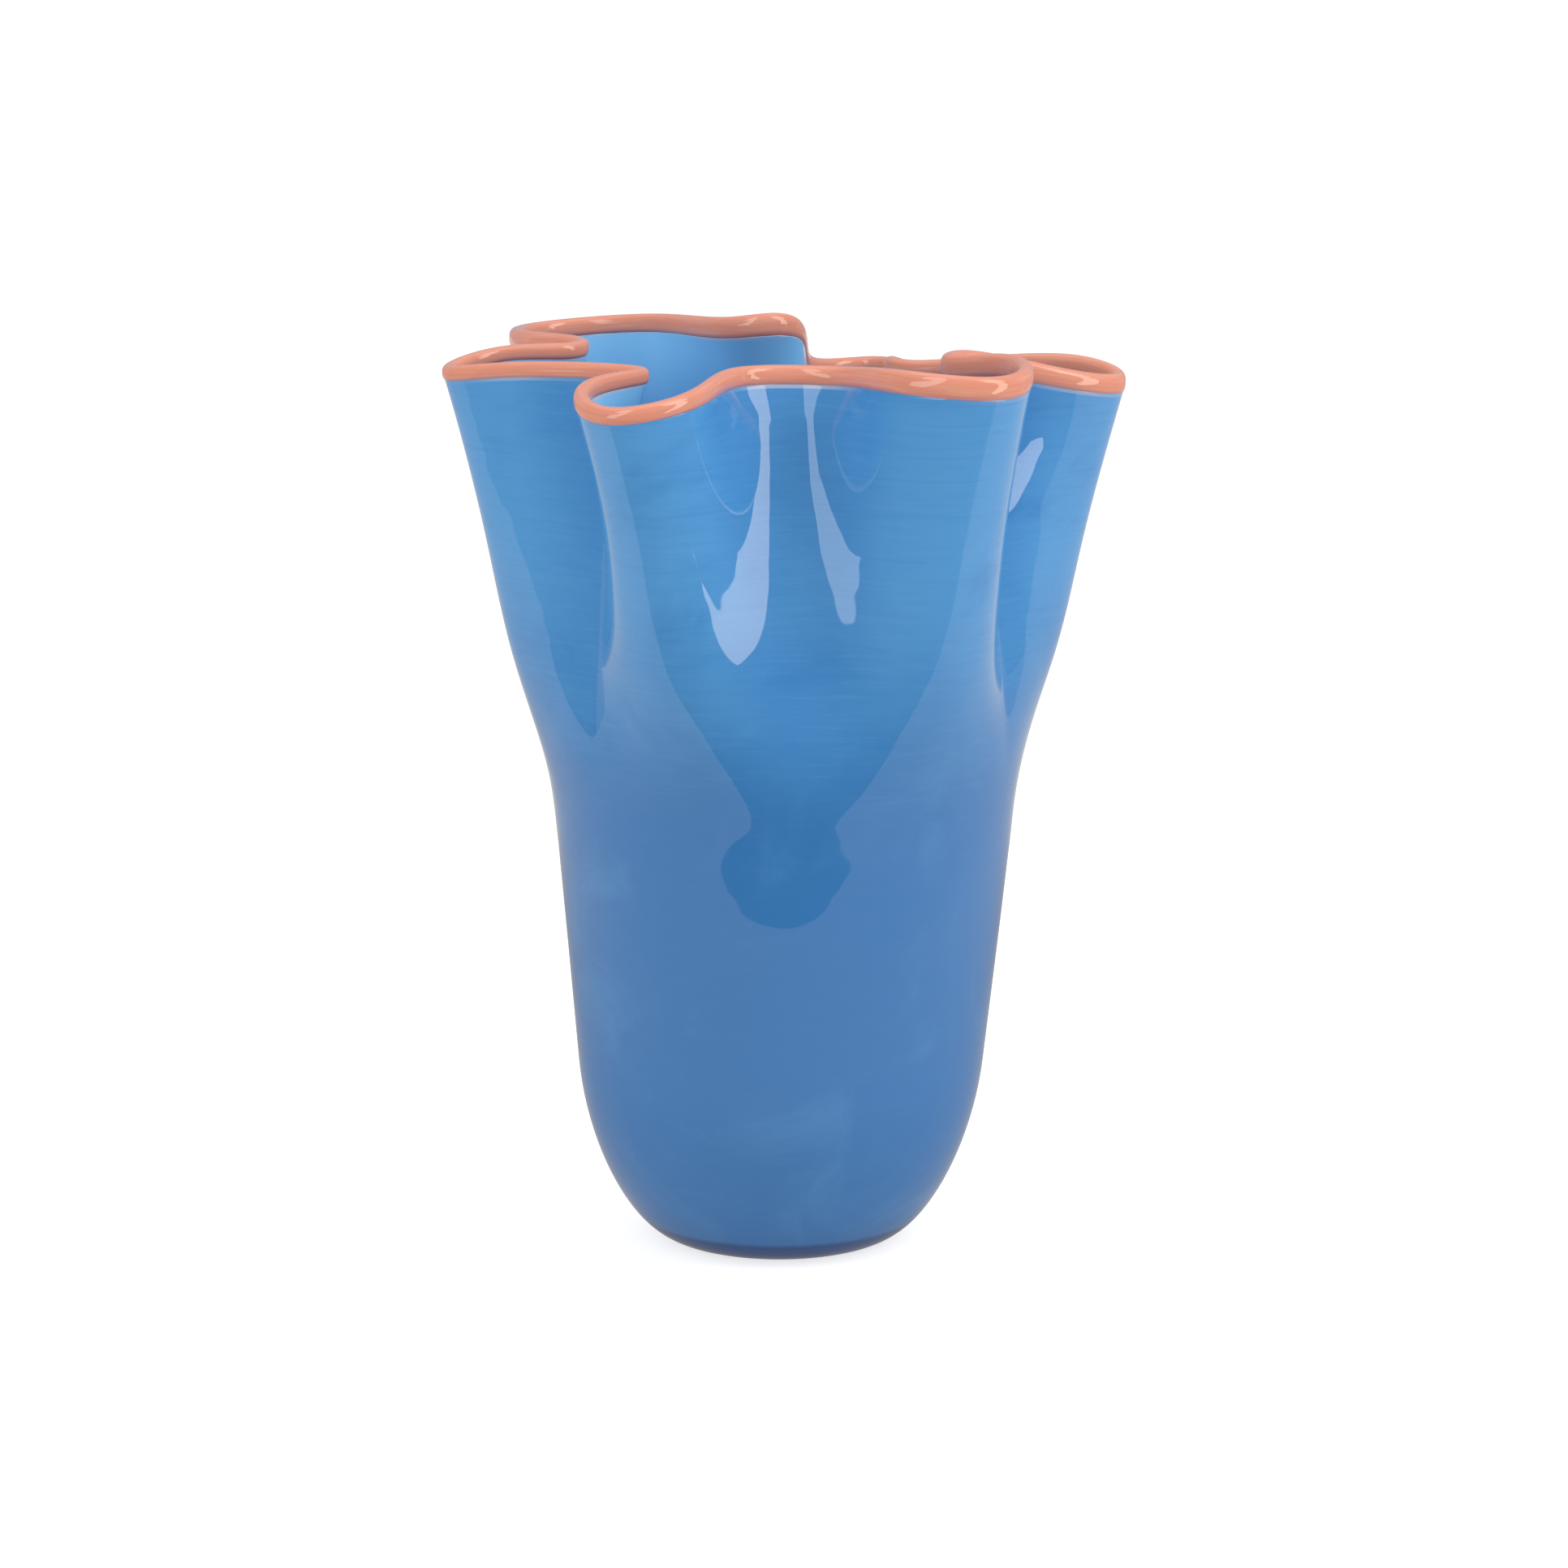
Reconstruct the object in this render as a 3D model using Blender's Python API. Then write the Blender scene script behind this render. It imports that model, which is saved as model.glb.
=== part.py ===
"""Ruffled glass vase: a blown blue body whose mouth is drawn out into six lobes, with a coral wrap.

Metres, +Z up. The origin is the middle of the flat foot, on the surface that the vase stands on.
The front is -Y, and azimuths are in degrees from the front towards +X.
"""

import math
from collections import namedtuple

import bmesh
import bpy
import numpy as np

# Round lower body, outer face
FOOT_RADIUS = 0.0320
CORNER_HEIGHT = 0.060
SIDE_RADIUS = 0.0608
SIDE_TAPER = 0.10
LEAN = 0.0016

# Glass thickness
WALL = 0.0038
BASE_THICKNESS = 0.014
FLOOR_RADIUS = 0.022

# Ruffled upper body. The wall first opens out as a funnel, and the folds are drawn in from it.
# FLARE is how far the funnel has opened, by share of height. FOLD_DELAY is how much later than
# the funnel the folds come, and FADE_POWER how much later still the finer waves of the lip.
RUFFLE_START = 0.150
LIP_HEIGHT = 0.290
FLARE = ((0.0, 0.0), (0.12, 0.10), (0.31, 0.39), (0.62, 0.65), (1.0, 1.0))
FOLD_DELAY = 1.55
FADE_POWER = 1.6

# Typical lobe and fold of the lip. Reach is from the axis to the middle of the wall, rise is
# above LIP_HEIGHT, and droop is how far a lobe's tip hangs below its flanks.
LOBE_REACH = 0.108
LOBE_WIDTH = 0.038
FOLD_REACH = 0.057
FOLD_WIDTH = 0.012
LIP_RISE = 0.004
TIP_DROOP = 0.003

# Lip wrap: its typical depth, how far it stands proud of each face of the wall, and the gap to
# the lip under it
WRAP_DEPTH = 0.0058
WRAP_OVERHANG = 0.0007
WRAP_SEAT_INSET = 0.0004
WRAP_WAIST = 0.45
WRAP_GAP = 0.0003

# Each lobe and fold in turn from the front, as shares of the typical sizes above: the glass is
# drawn by hand, so no two are alike.
Lobe = namedtuple("Lobe", "azimuth reach width rise droop wrap")
Fold = namedtuple("Fold", "azimuth reach width rise wrap")
LIP = (
    Fold(azimuth=2.0, reach=1.00, width=2.67, rise=0.95, wrap=1.00),
    Lobe(azimuth=40.0, reach=0.99, width=1.24, rise=1.25, droop=0.50, wrap=1.24),
    Fold(azimuth=63.0, reach=1.09, width=0.88, rise=0.62, wrap=1.24),
    Lobe(azimuth=88.0, reach=1.00, width=0.82, rise=-0.88, droop=1.00, wrap=1.07),
    Fold(azimuth=131.0, reach=0.91, width=0.92, rise=-1.88, wrap=0.95),
    Lobe(azimuth=163.0, reach=0.92, width=0.87, rise=-3.62, droop=0.67, wrap=0.95),
    Fold(azimuth=188.0, reach=0.90, width=1.58, rise=0.62, wrap=1.21),
    Lobe(azimuth=225.0, reach=1.09, width=1.45, rise=-0.12, droop=1.00, wrap=1.00),
    Fold(azimuth=254.0, reach=1.25, width=1.00, rise=0.38, wrap=0.83),
    Lobe(azimuth=273.5, reach=1.00, width=0.86, rise=0.25, droop=1.00, wrap=0.76),
    Fold(azimuth=311.5, reach=1.14, width=0.83, rise=0.75, wrap=0.79),
    Lobe(azimuth=329.5, reach=1.00, width=1.00, rise=0.38, droop=1.33, wrap=0.90),
)

LOBE_COUNT = sum(isinstance(item, Lobe) for item in LIP)

# Facets
STATIONS = 120
CORNER_ROWS = 7
RUFFLE_ROWS = 10
WRAP_SIDES = 8
SHARP_EDGE = math.radians(40)

# Materials: linear colour, roughness
BLUE_GLASS = ((0.075, 0.262, 0.552, 1.0), 0.06)
CORAL_GLASS = ((0.680, 0.310, 0.225, 1.0), 0.10)


def smooth_step(value):
    value = min(max(value, 0.0), 1.0)
    return value * value * (3.0 - 2.0 * value)


def direction(azimuth):
    """Unit vector out from the axis, in plan."""
    return np.array((math.sin(azimuth), -math.cos(azimuth)))


def lip_controls():
    """Control points of the lip, each as x, y, z and wrap depth, and each lobe's tip as its row there
    and its azimuth."""
    controls = []
    tips = []
    for item in LIP:
        azimuth = math.radians(item.azimuth)
        out = direction(azimuth)
        along = direction(azimuth + math.pi / 2)
        height = LIP_HEIGHT + LIP_RISE * item.rise
        wrap = WRAP_DEPTH * item.wrap
        if isinstance(item, Lobe):
            half = LOBE_WIDTH * item.width / 2
            tip = out * LOBE_REACH * item.reach
            middle = tip - out * half
            tips.append((len(controls) + 1, azimuth))
            controls.append((*(middle - along * half), height, wrap))
            controls.append((*tip, height - TIP_DROOP * item.droop, wrap))
            controls.append((*(middle + along * half), height, wrap))
        else:
            half = FOLD_WIDTH * item.width / 2
            middle = out * FOLD_REACH * item.reach
            controls.append((*(middle - along * half), height, wrap))
            controls.append((*(middle + along * half), height, wrap))
    return np.array(controls), tips


def body_turns(controls, tips):
    """Azimuth at which each control point's wall leaves the round body.

    The tips leave it evenly round the axis, and the points between two tips follow the length of
    the lip.
    """
    steps = np.linalg.norm(np.diff(controls[:, :2], axis=0, append=controls[:1, :2]), axis=1)
    length = steps.sum()
    along = np.cumsum(steps) - steps
    even = 2 * math.pi * np.arange(len(tips)) / len(tips)
    even += np.mean([azimuth for row, azimuth in tips]) - even.mean()
    tip_along = [along[row] for row, azimuth in tips]
    tip_along = [tip_along[-1] - length, *tip_along, tip_along[0] + length]
    tip_turns = [even[-1] - 2 * math.pi, *even, even[0] + 2 * math.pi]
    return np.interp(along, tip_along, tip_turns)


def spline_bends(knots, values, closed):
    """Second derivatives of the cubic spline through the values, closed or with a level start."""
    count = len(values)
    matrix = np.zeros((count, count))
    right = np.zeros_like(values)
    steps = np.diff(knots)
    for row in range(count):
        before = steps[row - 1]
        after = steps[row % len(steps)]
        if not closed and row == 0:
            matrix[0, 0] = 2 * after
            matrix[0, 1] = after
            right[0] = 6 * (values[1] - values[0]) / after
            continue
        if not closed and row == count - 1:
            matrix[row, row] = 1.0
            continue
        following = (row + 1) % count
        matrix[row, row - 1] = before
        matrix[row, row] = 2 * (before + after)
        matrix[row, following] = after
        slope_after = (values[following] - values[row]) / after
        slope_before = (values[row] - values[row - 1]) / before
        right[row] = 6 * (slope_after - slope_before)
    return np.linalg.solve(matrix, right)


def spline_point(knots, values, bends, at):
    """The spline's value at one knot position."""
    row = min(int(np.searchsorted(knots, at, side="right")) - 1, len(knots) - 2)
    following = (row + 1) % len(values)
    step = knots[row + 1] - knots[row]
    near = (knots[row + 1] - at) / step
    far = (at - knots[row]) / step
    straight = near * values[row] + far * values[following]
    curve = (near**3 - near) * bends[row] + (far**3 - far) * bends[following]
    return straight + curve * step * step / 6


def lip_stations():
    """Stations round the lip, each as x, y, z, wrap depth and azimuth on the round body."""
    controls, tips = lip_controls()
    turns = body_turns(controls, tips)
    spans = np.linalg.norm(np.diff(controls[:, :3], axis=0, append=controls[:1, :3]), axis=1)
    knots = np.concatenate(([0.0], np.cumsum(np.sqrt(spans))))
    even_turns = 2 * math.pi * knots[:-1] / knots[-1]
    values = np.column_stack((controls, turns - even_turns))
    bends = spline_bends(knots, values, closed=True)
    stations = []
    for step in range(STATIONS):
        at = knots[-1] * step / STATIONS
        station = spline_point(knots, values, bends, at)
        station[4] += 2 * math.pi * step / STATIONS
        stations.append(station)
    return np.array(stations)


def normals(ring):
    """Outward unit normals in plan of a closed ring that runs anticlockwise from above."""
    tangent = np.roll(ring[:, :2], -1, axis=0) - np.roll(ring[:, :2], 1, axis=0)
    tangent /= np.linalg.norm(tangent, axis=1)[:, None]
    return np.column_stack((tangent[:, 1], -tangent[:, 0], np.zeros(len(ring))))


def flare(height_share):
    """How far the wall has gone from the round body to the lip, at a share of the ruffles' height."""
    points = np.array(FLARE)
    bends = spline_bends(points[:, 0], points[:, 1], closed=False)
    return spline_point(points[:, 0], points[:, 1], bends, height_share)


def side_radius(height):
    return SIDE_RADIUS + SIDE_TAPER * height


def round_ring(stations, radius, height):
    """A circle of the lower body, whose axis leans from the foot to the mouth."""
    turns = stations[:, 4]
    shift = LEAN * smooth_step(height / RUFFLE_START)
    return np.column_stack((
        shift + radius * np.sin(turns),
        -radius * np.cos(turns),
        np.full(len(turns), height),
    ))


def corner_rings(stations, flat_radius, floor, inset):
    """Rings of the elliptical corner between a flat floor and the side."""
    rings = []
    sweep = SIDE_RADIUS - inset - flat_radius
    for row in range(CORNER_ROWS + 1):
        angle = math.pi / 2 * row / CORNER_ROWS
        height = floor + CORNER_HEIGHT * (1 - math.cos(angle))
        taper = SIDE_TAPER * height * math.sin(angle)
        rings.append(round_ring(stations, flat_radius + sweep * math.sin(angle) + taper, height))
    return rings


def ruffle_rings(stations, offset):
    """Rings of the ruffled wall from the round body to the lip, offset from the wall's middle.

    The lip is the funnel's round edge plus waves round the mouth. Going up, the funnel follows the
    flare, the waves that make the folds come later, and the finest waves only near the lip.
    """
    lip = stations[:, :3] + (LEAN, 0.0, 0.0)
    turns = stations[:, 4]
    out = np.sin(turns) - 1j * np.cos(turns)
    top_radius = side_radius(lip[:, 2]) - WALL / 2
    funnel = LOBE_REACH - top_radius.mean()
    folded = (lip[:, 0] - LEAN + 1j * lip[:, 1]) / out - top_radius - funnel
    waves = np.fft.fft(folded)
    waves_round = np.abs(np.fft.fftfreq(STATIONS, 1 / STATIONS))
    lateness = FOLD_DELAY * np.maximum(waves_round / LOBE_COUNT, 1.0) ** FADE_POWER
    rings = []
    for row in range(RUFFLE_ROWS + 1):
        share = row / RUFFLE_ROWS
        height = RUFFLE_START + (lip[:, 2] - RUFFLE_START) * share
        opened = flare(share)
        moved = funnel * opened + np.fft.ifft(waves * opened**lateness)
        plan = out * (side_radius(height) - WALL / 2 + moved)
        ring = np.column_stack((plan.real + LEAN, plan.imag, height))
        rings.append(ring + normals(ring) * offset)
    return rings


def skin(bm, rings, close=False):
    """Quads between each ring of points and the next, wound so that they face out."""
    loops = [[bm.verts.new(point) for point in ring] for ring in rings]
    pairs = list(zip(loops, loops[1:]))
    if close:
        pairs.append((loops[-1], loops[0]))
    for lower, upper in pairs:
        for at in range(len(lower)):
            after = (at + 1) % len(lower)
            bm.faces.new((lower[at], lower[after], upper[after], upper[at]))
    return loops


def finish(name, bm, material):
    """The named object of a finished mesh."""
    bmesh.ops.recalc_face_normals(bm, faces=bm.faces)
    mesh = bpy.data.meshes.new(name)
    bm.to_mesh(mesh)
    bm.free()
    mesh.shade_smooth()
    mesh.set_sharp_from_angle(angle=SHARP_EDGE)
    mesh.materials.append(material)
    piece = bpy.data.objects.new(name, mesh)
    bpy.context.collection.objects.link(piece)
    return piece


def glass(name, look):
    colour, roughness = look
    material = bpy.data.materials.new(name)
    material.use_nodes = True
    shader = material.node_tree.nodes["Principled BSDF"]
    shader.inputs["Base Color"].default_value = colour
    shader.inputs["Roughness"].default_value = roughness
    shader.inputs["Metallic"].default_value = 0.0
    return material


def vase_body(stations, material):
    """The blown body: outer face up to the lip, across it, and down the inner face to the floor."""
    outer = corner_rings(stations, FOOT_RADIUS, 0.0, 0.0)
    outer += ruffle_rings(stations, WALL / 2)
    inner = corner_rings(stations, FLOOR_RADIUS, BASE_THICKNESS, WALL)
    inner += ruffle_rings(stations, -WALL / 2)
    bm = bmesh.new()
    loops = skin(bm, outer + inner[::-1])
    bm.faces.new(loops[0])
    bm.faces.new(loops[-1])
    return finish("vase_body", bm, material)


def lip_wrap(stations, material):
    """The coral trail: a rounded section with a flat seat, swept along the lip."""
    lip = stations[:, :3] + (LEAN, 0.0, WRAP_GAP)
    out = normals(lip)
    depth = stations[:, 3]
    half_width = WALL / 2 + WRAP_OVERHANG
    half_seat = WALL / 2 - WRAP_SEAT_INSET
    seat_angle = -math.acos(half_seat / half_width)
    lower = WRAP_WAIST / -math.sin(seat_angle)
    upper = 1.0 - WRAP_WAIST
    rings = []
    for side in range(WRAP_SIDES + 1):
        angle = seat_angle + (math.pi - 2 * seat_angle) * side / WRAP_SIDES
        rise = WRAP_WAIST + (upper if math.sin(angle) > 0 else lower) * math.sin(angle)
        ring = lip + out * (half_width * math.cos(angle))
        ring[:, 2] += depth * rise
        rings.append(ring)
    bm = bmesh.new()
    skin(bm, rings, close=True)
    return finish("lip_wrap", bm, material)


def main():
    for old in list(bpy.data.objects):
        bpy.data.objects.remove(old, do_unlink=True)
    stations = lip_stations()
    vase_body(stations, glass("blue_glass", BLUE_GLASS))
    lip_wrap(stations, glass("coral_glass", CORAL_GLASS))


main()
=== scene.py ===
"""Ruffled glass vase: a blown, cased blue body with six ruffled lobes and a coral trail on its lip.

Laid out as an add-on with one operator for each piece and one for the stage, and run as a script.
Metres, +Z up. The origin is the middle of the foot, the front is -Y, and azimuths are in degrees
from the front towards +X.
"""

import math
from collections import namedtuple

import bpy
import numpy as np
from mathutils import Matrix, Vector


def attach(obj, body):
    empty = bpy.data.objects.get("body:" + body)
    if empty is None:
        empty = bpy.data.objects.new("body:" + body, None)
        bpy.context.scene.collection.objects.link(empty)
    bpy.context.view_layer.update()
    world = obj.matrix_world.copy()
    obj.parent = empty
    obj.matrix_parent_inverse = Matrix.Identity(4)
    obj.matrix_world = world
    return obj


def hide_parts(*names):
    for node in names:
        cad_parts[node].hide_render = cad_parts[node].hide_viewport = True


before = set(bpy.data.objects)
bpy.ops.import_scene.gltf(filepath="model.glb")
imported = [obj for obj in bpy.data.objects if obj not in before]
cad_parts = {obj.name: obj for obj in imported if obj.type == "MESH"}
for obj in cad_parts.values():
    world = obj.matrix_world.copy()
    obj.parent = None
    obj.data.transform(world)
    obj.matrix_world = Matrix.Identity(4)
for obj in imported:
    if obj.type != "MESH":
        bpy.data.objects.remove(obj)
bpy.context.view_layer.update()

bl_info = {
    "name": "Ruffled glass vase",
    "version": (1, 0, 0),
    "blender": (4, 5, 0),
    "location": "View3D > Sidebar > Vase",
    "description": "Blown glass vase with a ruffled mouth and a coral lip trail",
    "category": "Object",
}

# Each lobe and fold of the lip in turn from the front, as shares of the typical sizes in VaseSizes:
# the glass is drawn by hand, so no two are alike. Trail is the depth of the coral trail there.
Lobe = namedtuple("Lobe", "azimuth reach width rise droop trail")
Fold = namedtuple("Fold", "azimuth reach width rise trail")
LIP = (
    Fold(azimuth=2.0, reach=1.00, width=2.67, rise=0.95, trail=1.00),
    Lobe(azimuth=40.0, reach=0.99, width=1.24, rise=1.25, droop=0.50, trail=1.24),
    Fold(azimuth=63.0, reach=1.09, width=0.88, rise=0.62, trail=1.24),
    Lobe(azimuth=88.0, reach=1.00, width=0.82, rise=-0.88, droop=1.00, trail=1.07),
    Fold(azimuth=131.0, reach=0.91, width=0.92, rise=-1.88, trail=0.95),
    Lobe(azimuth=163.0, reach=0.92, width=0.87, rise=-3.62, droop=0.67, trail=0.95),
    Fold(azimuth=188.0, reach=0.90, width=1.58, rise=0.62, trail=1.21),
    Lobe(azimuth=225.0, reach=1.09, width=1.45, rise=-0.12, droop=1.00, trail=1.00),
    Fold(azimuth=254.0, reach=1.25, width=1.00, rise=0.38, trail=0.83),
    Lobe(azimuth=273.5, reach=1.00, width=0.86, rise=0.25, droop=1.00, trail=0.76),
    Fold(azimuth=311.5, reach=1.14, width=0.83, rise=0.75, trail=0.79),
    Lobe(azimuth=329.5, reach=1.00, width=1.00, rise=0.38, droop=1.33, trail=0.90),
)
LOBE_COUNT = sum(isinstance(item, Lobe) for item in LIP)

# How far the ruffles' funnel has opened, by share of their height
FLARE = ((0.0, 0.0), (0.12, 0.10), (0.31, 0.39), (0.62, 0.65), (1.0, 1.0))
# The share over which the flare is evened out, the share where that begins to end, and how long it
# takes to end
EASE = 0.12
EASE_ENDS = 0.20
EASE_ENDS_OVER = 0.30
# The last ring below the lip's edge, by the same share: the trail covers both, so that the edge's
# turn over the lip doesn't soften the wall below the trail
HIDDEN_EDGE = 0.0040

# Mesh fineness
STATIONS = 480
CORNER_ROWS = 24
SIDE_ROWS = 10
RUFFLE_ROWS = 60
EASE_STEPS = 13
TRAIL_SIDES = 32
SHEET_STEPS = 12

# The trail's section: 1 is an ellipse, and lower is squarer
TRAIL_SQUARE = 0.78

# The textures of the glasses: the noise's scale along each axis, detail, roughness and distortion
Grain = namedtuple("Grain", "scales detail roughness distortion", defaults=(0.55, 0.0))
CLOUDS = Grain((24.0, 24.0, 30.0), 4.0, 0.6, 0.6)
WISPS = Grain((48.0, 48.0, 760.0), 4.0, 0.6, 0.8)
BLUE_RIPPLES = Grain((14.0, 14.0, 30.0), 2.0)
SEAM_BREAKS = Grain((22.0, 22.0, 0.0), 1.0)
THREADS = Grain((40.0, 900.0, 900.0), 4.0, 0.6, 0.5)
CORAL_PATCHES = Grain((60.0, 260.0, 260.0), 3.0)
CORAL_RIPPLES = Grain((60.0, 200.0, 200.0), 2.0)

# How colours and gloss follow the textures, the heights in metres and the other values that the
# pieces keep: while the first value goes from low to high, the other goes from start to end
Rise = namedtuple("Rise", "low high start end", defaults=(0.0, 1.0))
# The lobes are paler than the folds, and the ruffles paler than the body: partly thinner glass,
# partly painted light that shines through the thin lobes and falls on the upper wall
STRETCHED_THIN = Rise(0.85, 1.05)
RUFFLES_BEGIN = Rise(0.145, 0.245)
PALE_CLOUDS = Rise(0.46, 0.80, 0.0, 0.26)
DEEP_CLOUDS = Rise(0.22, 0.50, 0.45, 0.0)
PALE_WISPS = Rise(0.48, 0.78, 0.0, 0.28)
DEEP_WISPS = Rise(0.26, 0.50, 0.17, 0.0)
WISPS_DRAWN_OUT = Rise(0.13, 0.22, 0.15, 1.0)
# Painted light on the inner face: strong near the lip, weaker deeper in the mouth, which leaves
# painted shade there
INNER_GLOW_BELOW_LIP = Rise(0.008, 0.042, 0.88, 0.35)
# Painted shade at the foot: the shadow under the vase as the glass would mirror it
SHADED_BASE = Rise(0.0070, 0.0095, 0.85, 0.0)
SEAM_SHOWS = Rise(0.38, 0.62)
# The pale line under the trail: clear glass at the joint, made pale by a painted reflection of
# light
SEAM_GLINT_BELOW_LIP = Rise(0.0011, 0.0016, 0.70, 0.0)
BLUE_POLISH = Rise(0.35, 0.65, 0.018, 0.036)
PALE_THREADS = Rise(0.42, 0.72, 0.0, 0.7)
MAUVE_EDGE = Rise(0.12, 0.34, 0.75, 0.0)
MAUVE_PATCHES = Rise(0.30, 0.60, 0.6, 1.0)
CORAL_POLISH = Rise(0.35, 0.65, 0.012, 0.030)
# The foot's ground glass: its roughness, and the heights between which the polish takes over
GROUND_ROUGHNESS = 0.32
GROUND_TOP = 0.0002
POLISH_FROM = 0.0009
BLUE_RIPPLE_DEPTH = 0.00025
CORAL_RIPPLE_DEPTH = 0.00003
GLASS_IOR = 1.5

# The two soft lights, as they are mirrored in the glass: rows of height, and the azimuths between
# which the light is seen there from the vase. Each has a square head over a wide reflector.
LIGHT_DISTANCE = 1.3
RIGHT_LIGHT = (
    (2.60, 33, 75), (0.99, 38, 75), (0.95, 44, 60), (0.82, 49, 66), (0.65, 53, 70),
    (0.46, 54, 73), (0.29, 52, 72), (0.18, 49, 70), (0.10, 46, 65), (0.02, 42, 59),
    (-0.05, 42, 52), (-0.11, 43, 48),
)
LEFT_LIGHT = (
    (2.60, -38, -12), (0.96, -38, -12), (0.92, -25, -15), (0.84, -25, -15), (0.65, -29, -14),
    (0.46, -40, -19), (0.34, -45, -21), (0.27, -48, -24), (0.17, -50, -29), (0.11, -51, -32),
    (0.06, -44, -36),
)

# The lamps that light the vase itself, as azimuths and as the width and height of each
RIGHT_LAMP_AZIMUTH = 64.0
LEFT_LAMP_AZIMUTH = -58.0
LAMP_SIZE = (0.6, 1.4)

# The table in the glass: points that its light changes round, each with the two distances and the
# shares of the light there. First under the vase, then its shadow behind it, then the lamps' pool
# of light in front.
TABLE_SHADE = (
    ((0.0, 0.0, 0.0), 0.040, 0.064, 0.62, 1.0),
    ((0.0, 0.25, 0.0), 0.20, 0.45, 0.50, 1.0),
    ((0.0, -0.30, 0.0), 0.42, 0.80, 1.0, 0.78),
)

# The table top: how far it runs, its grey, and how much light makes up for the grey where the
# camera and where other rays see it
FLOOR_REACH = 6.0
FLOOR_GREY = (0.5, 0.5, 0.5, 1.0)
FLOOR_LIFT = 0.74
FLOOR_LIFT_UNSEEN = 0.18

# The room in the glass: its distance, its height above and below the table, and the azimuths
# between which it is unlit. White walls close it behind.
ROOM_DISTANCE = 2.45
ROOM_HEIGHT = 5.0
UNLIT_FROM = -110
UNLIT_TO = 110
WHITE = (1.0, 1.0, 1.0)

# Camera: its distance and downward angle, its lens and sensor in mm, and how far it sees
CAMERA_DISTANCE = 2.25
CAMERA_PITCH = math.radians(12.5)
CAMERA_LENS = 157.5
CAMERA_SENSOR = 36.0
CAMERA_RANGE = 50.0
CAMERA_TARGET = Vector((0.0016, 0.0, 0.1522))


class VaseSizes(bpy.types.PropertyGroup):
    """Sizes of the glass, the same as those of the solid model."""

    foot_radius: bpy.props.FloatProperty(
        name="Foot radius", description="Radius of the flat foot",
        default=0.0320, unit="LENGTH", subtype="DISTANCE")
    corner_height: bpy.props.FloatProperty(
        name="Corner height", description="Height of the rounded corner above the foot",
        default=0.060, unit="LENGTH", subtype="DISTANCE")
    side_radius: bpy.props.FloatProperty(
        name="Side radius", description="Radius that the side's line has at the foot's level",
        default=0.0608, unit="LENGTH", subtype="DISTANCE")
    side_taper: bpy.props.FloatProperty(
        name="Side taper", description="Growth of the side's radius for each unit of height",
        default=0.10)
    lean: bpy.props.FloatProperty(
        name="Lean", description="Distance from the foot's middle to the mouth's, to the right",
        default=0.0016, unit="LENGTH", subtype="DISTANCE")
    wall: bpy.props.FloatProperty(
        name="Wall", description="Thickness of the cased glass wall",
        default=0.0038, unit="LENGTH", subtype="DISTANCE")
    base: bpy.props.FloatProperty(
        name="Base", description="Thickness of the glass under the inner floor",
        default=0.014, unit="LENGTH", subtype="DISTANCE")
    floor_radius: bpy.props.FloatProperty(
        name="Inner floor radius", description="Radius of the flat inner floor",
        default=0.022, unit="LENGTH", subtype="DISTANCE")
    ruffle_start: bpy.props.FloatProperty(
        name="Ruffle start", description="Height at which the wall begins to leave its round shape",
        default=0.150, unit="LENGTH", subtype="DISTANCE")
    lip_height: bpy.props.FloatProperty(
        name="Lip height", description="Height of the lip that the lobes and folds rise from",
        default=0.290, unit="LENGTH", subtype="DISTANCE")
    fold_delay: bpy.props.FloatProperty(
        name="Fold delay", description="How much later than the funnel the folds come, going up",
        default=1.55)
    fade_power: bpy.props.FloatProperty(
        name="Fade power", description="How much later still the finer waves of the lip come",
        default=1.6)
    lobe_reach: bpy.props.FloatProperty(
        name="Lobe reach", description="Distance from the axis to the wall at a lobe's tip",
        default=0.108, unit="LENGTH", subtype="DISTANCE")
    lobe_width: bpy.props.FloatProperty(
        name="Lobe width", description="Width of a lobe at the lip",
        default=0.038, unit="LENGTH", subtype="DISTANCE")
    fold_reach: bpy.props.FloatProperty(
        name="Fold reach", description="Distance from the axis to the wall in a fold",
        default=0.057, unit="LENGTH", subtype="DISTANCE")
    fold_width: bpy.props.FloatProperty(
        name="Fold width", description="Width of a fold at the lip",
        default=0.012, unit="LENGTH", subtype="DISTANCE")
    lip_rise: bpy.props.FloatProperty(
        name="Lip rise", description="Height by which the lip's lobes and folds differ",
        default=0.004, unit="LENGTH", subtype="DISTANCE")
    tip_droop: bpy.props.FloatProperty(
        name="Tip droop", description="How far a lobe's tip hangs below its flanks",
        default=0.003, unit="LENGTH", subtype="DISTANCE")
    trail_depth: bpy.props.FloatProperty(
        name="Trail depth", description="Depth of the coral trail on the lip",
        default=0.0058, unit="LENGTH", subtype="DISTANCE")
    trail_overhang: bpy.props.FloatProperty(
        name="Trail overhang", description="How far the coral trail stands proud of each wall face",
        default=0.0007, unit="LENGTH", subtype="DISTANCE")
    trail_wrap: bpy.props.FloatProperty(
        name="Trail wrap", description="How far the trail's section reaches down over the lip",
        default=0.0009, unit="LENGTH", subtype="DISTANCE")


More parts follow.
